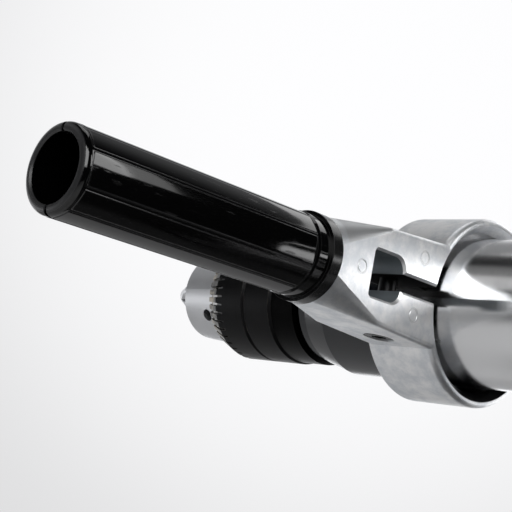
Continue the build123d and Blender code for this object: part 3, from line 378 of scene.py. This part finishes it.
# Trigger and exhaust deflector: moulded in black nylon with a fine spark texture,
# the trigger pushed on the valve stem, the deflector held by the inlet bushing.
nylon_dark = (0.011, 0.011, 0.012, 1)
nylon_light = (0.021, 0.021, 0.022, 1)
nylon, shader, place = start_finish("textured_nylon", {"IOR": 1.53})
spark = place.noise(scale=2600.0, detail=3.0, roughness=0.6)
thumbed = place.noise(scale=110.0, detail=3.0).between(0.45, 0.7)
feed(shader, "Base Color", spark.blend(nylon_dark, nylon_light))
feed(shader, "Roughness", 0.52 - thumbed * 0.14 - edge_wear(place, radius=0.0006) * 0.16)
feed(shader, "Normal", spark.bump(strength=0.35, distance=0.0003))
dress(["trigger", "exhaust_deflector"], nylon)

# Valve bushing and inlet screen: turned brass, fitted in the air passage of the grip and
# dulled in brown patches by air and oil.
brass_bright = (0.72, 0.50, 0.22, 1)
brass_brown = (0.42, 0.28, 0.12, 1)
brass, shader, place = start_finish("dull_brass", {"Metallic": 1.0})
tarnish = place.noise(scale=260.0, detail=5.0, roughness=0.6)
feed(shader, "Base Color", tarnish.between(0.35, 0.7).blend(brass_bright, brass_brown))
feed(shader, "Roughness", 0.24 + tarnish * 0.2)
feed(shader, "Normal", tarnish.bump(strength=0.06, distance=0.0002))
dress(["valve_bushing", "inlet_screen"], brass)

# Inlet bushing: turned from hexagon steel and nickel plated, screwed up into the grip.
# The plating is worn to a warmer grey along the edges.
nickel_dull = (0.60, 0.585, 0.55, 1)
nickel_bright = (0.72, 0.705, 0.67, 1)
nickel_worn = (0.46, 0.43, 0.36, 1)
nickel, shader, place = start_finish("nickel_plate", {"Metallic": 1.0})
plate_grain = place.noise(scale=700.0, detail=4.0, roughness=0.6)
worn = edge_wear(place, radius=0.0003)
feed(shader, "Base Color", worn.blend(plate_grain.blend(nickel_dull, nickel_bright), nickel_worn))
feed(shader, "Roughness", 0.18 + plate_grain * 0.16)
feed(shader, "Normal", plate_grain.bump(strength=0.06, distance=0.0002))
dress(["inlet_bushing"], nickel)

# Inlet thread: crests of the thread cut in the bushing's bore, where the air line is
# screwed in. A triangle is led round the bore, one pitch further with every turn.
inlet = next(mount for mount in frame["record"]["mounts"] if mount["name"] == "air_inlet")
inlet_mouth = Vector(inlet["pos_m"])
inlet_bore_r = inlet["dims"]["r_mm"] / 1000
thread_pitch = 0.001411
thread_height = 0.0005
thread_turns = 9
crest_sides = 3
crest_first = Matrix.Rotation(math.pi / 2, 4, "X") @ Matrix.Rotation(math.pi / 2, 4, "Z")
thread_start = inlet_mouth + Vector((inlet_bore_r, 0.0, thread_pitch / 2))
form = bmesh.new()
bmesh.ops.create_circle(
    form,
    segments=crest_sides,
    radius=thread_height,
    matrix=Matrix.Translation(thread_start) @ crest_first,
)
bmesh.ops.spin(
    form,
    geom=form.edges[:],
    cent=inlet_mouth,
    axis=(0.0, 0.0, 1.0),
    dvec=(0.0, 0.0, thread_pitch / turn_steps),
    angle=2 * math.pi * thread_turns,
    steps=turn_steps * thread_turns,
)
bmesh.ops.holes_fill(form, edges=form.edges[:], sides=crest_sides)
bmesh.ops.recalc_face_normals(form, faces=form.faces[:])
thread_mesh = bpy.data.meshes.new("inlet_thread")
form.to_mesh(thread_mesh)
form.free()
thread_mesh.materials.append(nickel)
inlet_thread = bpy.data.objects.new("inlet_thread", thread_mesh)
bpy.context.scene.collection.objects.link(inlet_thread)
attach(inlet_thread, "housing")

# Handle bracket: one aluminium die casting, blasted to a fine matt skin and clamped round
# the barrel. Slow and fast chilled metal leaves a mottle and trimming rubs the edges bright.
# Painted shade darkens the window, the slit, the mouth's groove and bottom and two facets.
chilled_slow = (0.97, 0.97, 0.97, 1)
chilled_fast = (0.72, 0.745, 0.775, 1)
casting, shader, place = start_finish("die_casting", {"Metallic": 1.0})
skin = place.noise(scale=1500.0, detail=4.0, roughness=0.65)
chill = place.noise(scale=170.0, detail=6.0, roughness=0.7)
flow = place.stretched(1.0, 0.35, 1.0).noise(scale=45.0, detail=3.0)
mottle = (chill * 0.7 + flow * 0.5).between(0.45, 0.75)
cast = mottle.blend(chilled_slow, chilled_fast)
along, out, up = (place.axis(name) for name in "XYZ")
from_axis = radius_of(place)
ring_rear, ring_front = (corner.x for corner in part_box("handle_bracket"))

# Painted shade: the walls of the window and of the slit, from the barrel outwards, are painted dark, black in the
# slit and blue-grey in the window.
painted_slit_shadow = (0.004, 0.004, 0.005, 1)
painted_window_shade = (0.30, 0.33, 0.35, 1)
bore_r = 0.0266
mouth_r = 0.0306
slit_half = 0.0032
slit_end = 0.0475
slit_end_fade = 0.0015
window_end = 0.0647
window_half = 0.0120
wall_fade = 0.0003
skin_depth = 0.0010
skin_fade = 0.0002
walls = along.within(ring_rear + skin_depth, ring_front - skin_depth, skin_fade)
window = up.within(-window_half, window_half, wall_fade) * out.within(mouth_r, window_end, wall_fade)
slit = up.within(-slit_half, slit_half, wall_fade) * out.within(bore_r, window_end, wall_fade)
painted_shade_colour = out.above(slit_end, slit_end_fade).blend(painted_slit_shadow, painted_window_shade)

# Painted shade also darkens the groove behind the ring's mouth, apart from its top and its bottom.
groove_r = 0.0282
groove_r_fade = 0.0001
mouth_depth = 0.0035
groove_start = ring_rear + mouth_depth
groove_top = 0.0145
groove_top_fade = 0.0020
groove_low = -0.0120
groove_low_fade = 0.0040
groove_shade = from_axis.between(groove_r + groove_r_fade, groove_r)
groove_shade = groove_shade * along.between(groove_start - skin_fade, groove_start)
groove_shade = groove_shade * up.below(groove_top, groove_top_fade) * up.above(groove_low, groove_low_fade)

# Painted shade darkens the bottom of the mouth, a little higher on the side without the handle.
mouth_shade_level = -0.0250
mouth_shade_fade = 0.0030
mouth_shade_slope = 0.2
painted_mouth_shade = from_axis.between(mouth_r + wall_fade, mouth_r) * (up + out * mouth_shade_slope).below(mouth_shade_level, mouth_shade_fade)
# All the painted shade of the bracket together
painted_shade = (walls * window.most(slit)).most(groove_shade).most(painted_mouth_shade)

# Ejector pins leave three shallow rings in the rear face, painted darker as shade in the rings.
painted_mark_shade = (0.34, 0.35, 0.36, 1)
mark_r = 0.0022
mark_width = 0.0005
mark_depth = 0.0005
mark_depth_fade = 0.0001
mark_shade_share = along.below(ring_rear + mark_depth, mark_depth_fade) * 0.4
for mark_out, mark_up in ((0.0693, 0.0005), (0.0390, 0.0105), (0.0403, -0.0090)):
    from_mark = ((out - mark_out) ** 2.0 + (up - mark_up) ** 2.0) ** 0.5
    mark = from_mark.within(mark_r - mark_width / 2, mark_r + mark_width / 2, mark_width / 3)
    cast = (mark * mark_shade_share).blend(cast, painted_mark_shade)

# The two upper corner facets of the neck are painted darker as shade. They grow wider
# towards the handle, as the square neck turns round.
painted_facet_shade = (0.66, 0.67, 0.68, 1)
trimmed_edge = (0.92, 0.925, 0.93, 1)
facet_start = 0.0575
facet_end = 0.0765
facet_end_fade = 0.0012
facet_fade = 0.0003
facet_low = 0.0144
facet_low_slope = 0.43
facet_inner = 0.0118
facet_inner_slope = 0.319
beyond = out - facet_start
sideways = (along - (ring_rear + ring_front) / 2).size()
facet_top = (up + beyond * facet_low_slope).between(facet_low, facet_low + facet_fade)
facet_side = (sideways + beyond * facet_inner_slope).between(facet_inner, facet_inner + facet_fade)
shaded_facets = facet_top * facet_side * out.within(facet_start, facet_end, facet_end_fade)
dressed = edge_wear(place, radius=0.0005).blend(shaded_facets.blend(cast, painted_facet_shade), trimmed_edge)
feed(shader, "Base Color", painted_shade.blend(dressed, painted_shade_colour))
feed(shader, "Roughness", 0.33 + chill * 0.14 + skin * 0.05 + painted_shade * 0.2)
feed(shader, "Normal", (skin * 0.3 + chill * 1.2).bump(strength=0.11, distance=0.0004))
dress(["handle_bracket"], casting)

# Handle shells: two halves moulded in glossy black plastic, screwed together on the
# bracket's spigot. The gloss has faint waves from shrinkage and hairline scratches, and
# the flange is satin.
shell_black = (0.0006, 0.0006, 0.0007, 1)
shell_dusty = (0.005, 0.005, 0.005, 1)
shell_rubbed_sheen = (0.022, 0.022, 0.023, 1)
handle_start, handle_end = (corner.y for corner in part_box("handle_front_half"))
flange_width = 0.0045
flange_end = handle_start + flange_width
flange_fade = 0.0002
end_depth = 0.0005
end_fade = 0.0002
gloss, shader, place = start_finish("gloss_black", {"IOR": 1.5})
wave = place.stretched(1.0, 0.3, 1.0).noise(scale=180.0)
dust = place.noise(scale=2200.0).between(0.66, 0.74)
hairline = place.stretched(1.0, 0.12, 1.0).noise(scale=900.0, detail=1.0).between(0.68, 0.72)
flange = place.axis("Y").between(flange_end + flange_fade, flange_end)
end_face = place.axis("Y").above(handle_end - end_depth, end_fade)
# The end face is rubbed lighter. The edges are lighter partly from rubbing and partly as a painted highlight line.
rubbed = end_face.most(edge_wear(place, radius=0.0004, blunt=0.998, sharp=0.985) * 0.5)
feed(shader, "Base Color", rubbed.blend(dust.blend(shell_black, shell_dusty), shell_rubbed_sheen))
marked = hairline * 0.12 + dust * 0.1 + wave * 0.02
feed(shader, "Roughness", 0.05 + marked + rubbed * 0.3 + flange * 0.17)
feed(shader, "Normal", (wave * 1.5 + hairline * 0.1).bump(strength=0.04, distance=0.0004))
dress(["handle_front_half", "handle_rear_half"], gloss)

# Finger pads: the flat panels of the shells stand a little proud of the lands between
# them, moulded in one with the shells. Their rounded borders catch the light as lines.
shell_low, shell_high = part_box("handle_rear_half")[0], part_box("handle_front_half")[1]
handle_axis = Vector(((shell_low.x + shell_high.x) / 2, 0.0, 0.0))
handle_r = 0.0130
pad_inset = 0.0027
pad_length = 0.0879
pad_end = handle_end - pad_inset
pad_start = pad_end - pad_length
pad_crown = 0.0003
pad_rise = 0.0002
pad_root = 0.0004
pad_round = 0.0004
pad_steps = 8
pads = ((0.0, 22.0), (40.5, 16.0), (-40.5, 16.0), (74.0, 15.0), (-74.0, 15.0))
form = bmesh.new()
for shell_turn in (0.0, 180.0):
    for pad_turn, half_angle in pads:
        facing = Matrix.Rotation(math.radians(shell_turn + pad_turn), 3, "Y")
        outward = facing @ Vector((1.0, 0.0, 0.0))
        half_width = handle_r * math.sin(math.radians(half_angle))
        level = handle_r * math.cos(math.radians(half_angle)) - pad_root
        crown_r = (half_width ** 2 + pad_crown ** 2) / (2 * pad_crown)
        corner = handle_axis + outward * level - facing @ Vector((0.0, 0.0, half_width))
        ends = [form.verts.new(corner + Vector((0.0, y, 0.0))) for y in (pad_start, pad_end)]
        known = set(form.faces)
        bmesh.ops.spin(
            form,
            geom=[form.edges.new(ends)],
            cent=handle_axis + outward * (level + pad_crown - crown_r),
            axis=(0.0, -1.0, 0.0),
            angle=2 * math.asin(half_width / crown_r),
            steps=pad_steps,
        )
        panel = [face for face in form.faces if face not in known]
        raised = bmesh.ops.extrude_face_region(form, geom=panel, use_keep_orig=True)["geom"]
        top = [piece for piece in raised if isinstance(piece, bmesh.types.BMVert)]
        bmesh.ops.translate(form, verts=top, vec=outward * (pad_rise + pad_root))
        caps = {piece for piece in raised if isinstance(piece, bmesh.types.BMFace)}
        cap_edges = {edge for face in caps for edge in face.edges}
        rims = [edge for edge in cap_edges if sum(face in caps for face in edge.link_faces) == 1]
        bmesh.ops.bevel(
            form, geom=rims, offset=pad_round, segments=4, profile=0.5, affect="EDGES", material=-1
        )
bmesh.ops.recalc_face_normals(form, faces=form.faces[:])
for face in form.faces:
    face.smooth = True
pad_mesh = bpy.data.meshes.new("finger_pads")
form.to_mesh(pad_mesh)
form.free()
pad_mesh.materials.append(gloss)
finger_pads = bpy.data.objects.new("finger_pads", pad_mesh)
bpy.context.scene.collection.objects.link(finger_pads)
finger_pads.modifiers.new("even_shine", "WEIGHTED_NORMAL")
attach(finger_pads, "side_handle")

# Studio floor: a round sheet of pale paper under the tool, whose rim fades into the light
# ground. On the viewer's side most of it is hidden from mirrors, as by a black card, so
# that the gloss of the handle stays black.
paper_dull = (0.80, 0.80, 0.805, 1)
paper_bright = (0.83, 0.83, 0.835, 1)
floor_centre = Vector((-0.13, 0.05, cad_box[0][2]))
floor_r = 1.0
rim_start = 0.30
rim_end = 0.78
near_card_edge = -0.095
near_card_fade = 0.015
far_card_edge = -0.210
far_card_fade = 0.020
card_end = 0.110
card_end_fade = 0.030
form = bmesh.new()
bmesh.ops.create_circle(form, cap_ends=True, segments=96, radius=floor_r)
bmesh.ops.translate(form, verts=form.verts, vec=floor_centre)
floor_mesh = bpy.data.meshes.new("floor")
form.to_mesh(floor_mesh)
form.free()
floor = bpy.data.objects.new("floor", floor_mesh)
bpy.context.scene.collection.objects.link(floor)
paper, shader, place = start_finish("pale_paper", {"Roughness": 0.75, "IOR": 1.3})
fibre = place.noise(scale=160.0, detail=4.0)
feed(shader, "Base Color", fibre.blend(paper_dull, paper_bright))
across, aside = place.axis("X"), place.axis("Y")
reach = (across ** 2.0 + aside ** 2.0) ** 0.5
mirrored = Shade(paper.node_tree.nodes.new("ShaderNodeLightPath").outputs["Is Glossy Ray"])
near_card = across.below(near_card_edge, near_card_fade) * 0.85
far_card = across.below(far_card_edge, far_card_fade) * 0.13
carded = (near_card + far_card) * aside.below(card_end, card_end_fade)
feed(shader, "Alpha", reach.between(rim_end, rim_start) * (1.0 - mirrored * carded))
floor_mesh.materials.append(paper)

# Light ground: the room is bright in front of the tool, where the white paper sweeps
# up, and dark towards the viewer, so that gloss and polish have something to mirror.
# The viewer sees it as one pale ground, a little darker away from its middle.
room_colour = (0.97, 0.98, 1.0, 1)
ground_colour = (0.99, 0.99, 1.0, 1)
front = (0.707, -0.707, 0.0)
ground_middle = (0.634, -0.726, 0.266)
ground_edge = 0.914
world = bpy.data.worlds.new("studio_room")
bpy.context.scene.world = world
world.use_nodes = True
room = world.node_tree
direction = Shade(room.nodes.new("ShaderNodeTexCoord").outputs["Generated"])
ahead = direction.dot(front)
rise = direction.axis("Z")
table = rise.between(0.04, -0.06) * rise.between(-0.45, -0.25)
height = rise.between(-0.6, -0.4) * (0.95 - 0.7 * rise.between(0.35, 0.75) + 0.6 * table)
glow = (ahead + table * 0.5).between(0.28, 0.62) * height
ambient = room.nodes["Background"]
room.links.new((0.015 + glow).socket, ambient.inputs["Strength"])
ambient.inputs["Color"].default_value = room_colour
off_middle = direction.dot(ground_middle).between(1.0, ground_edge)
seen = room.nodes.new("ShaderNodeBackground")
seen.inputs["Color"].default_value = ground_colour
room.links.new((1.0 - off_middle * 0.25).socket, seen.inputs["Strength"])
camera_ray = Shade(room.nodes.new("ShaderNodeLightPath").outputs["Is Camera Ray"])
shown = room.nodes.new("ShaderNodeMixShader")
room.links.new(camera_ray.socket, shown.inputs[0])
room.links.new(ambient.outputs[0], shown.inputs[1])
room.links.new(seen.outputs[0], shown.inputs[2])
room.links.new(shown.outputs[0], room.nodes["World Output"].inputs["Surface"])


# Lamps: soft boxes round the tool. The key lights the bracket from the handle's side, the
# window and its edge lie as streaks on the handle, and the others fill top, back and front.
def soft_box(name, azimuth, elevation, distance, size, brightness):
    """Rectangular lamp in that direction from the middle of the view, facing it."""
    view_middle = Vector((-0.1435, 0.05, 0.0))
    width, height = size
    level_distance = distance * math.cos(math.radians(elevation))
    away = Vector((
        level_distance * math.cos(math.radians(azimuth)),
        level_distance * math.sin(math.radians(azimuth)),
        distance * math.sin(math.radians(elevation)),
    ))
    lamp = bpy.data.lights.new(name, "AREA")
    lamp.shape = "RECTANGLE"
    lamp.size = width
    lamp.size_y = height
    lamp.energy = brightness * math.pi * width * height
    holder = bpy.data.objects.new(name, lamp)
    bpy.context.scene.collection.objects.link(holder)
    holder.location = view_middle + away
    holder.rotation_euler = (-away).to_track_quat("-Z", "Y").to_euler()


soft_box("key_light", azimuth=135.0, elevation=28.0, distance=1.2, size=(0.80, 0.80), brightness=5.5)
soft_box("window_light", azimuth=-154.0, elevation=27.0, distance=0.9, size=(0.20, 0.36), brightness=4.5)
soft_box("window_edge", azimuth=-146.0, elevation=26.0, distance=0.9, size=(0.06, 0.32), brightness=2.0)
soft_box("sweep_light", azimuth=-35.0, elevation=76.0, distance=1.0, size=(0.60, 0.50), brightness=1.3)
soft_box("back_light", azimuth=-85.0, elevation=38.0, distance=0.9, size=(0.50, 0.30), brightness=1.6)
soft_box("front_light", azimuth=46.0, elevation=32.0, distance=0.9, size=(0.35, 0.25), brightness=0.6)
soft_box("side_light", azimuth=41.0, elevation=46.0, distance=0.9, size=(0.30, 0.20), brightness=0.18)

# Viewpoint: a long lens behind the side handle and a little below it, so that the handle
# comes towards the viewer, with the chuck behind it and the barrel at the right.
view_place = Vector((-0.42303, 0.37482, -0.06639))
right = Vector((-0.70659, -0.68391, 0.18164)).normalized()
back = Vector((-0.70738, 0.68936, -0.15621)).normalized()
camera = bpy.data.cameras.new("viewpoint")
camera.lens = 92.31
camera.sensor_width = 36.0
camera.clip_start = 0.01
viewer = bpy.data.objects.new("viewpoint", camera)
bpy.context.scene.collection.objects.link(viewer)
view_turn = Matrix((right, back.cross(right), back)).transposed().to_4x4()
viewer.matrix_world = Matrix.Translation(view_place) @ view_turn
bpy.context.scene.camera = viewer
bpy.context.scene.view_settings.view_transform = "Standard"
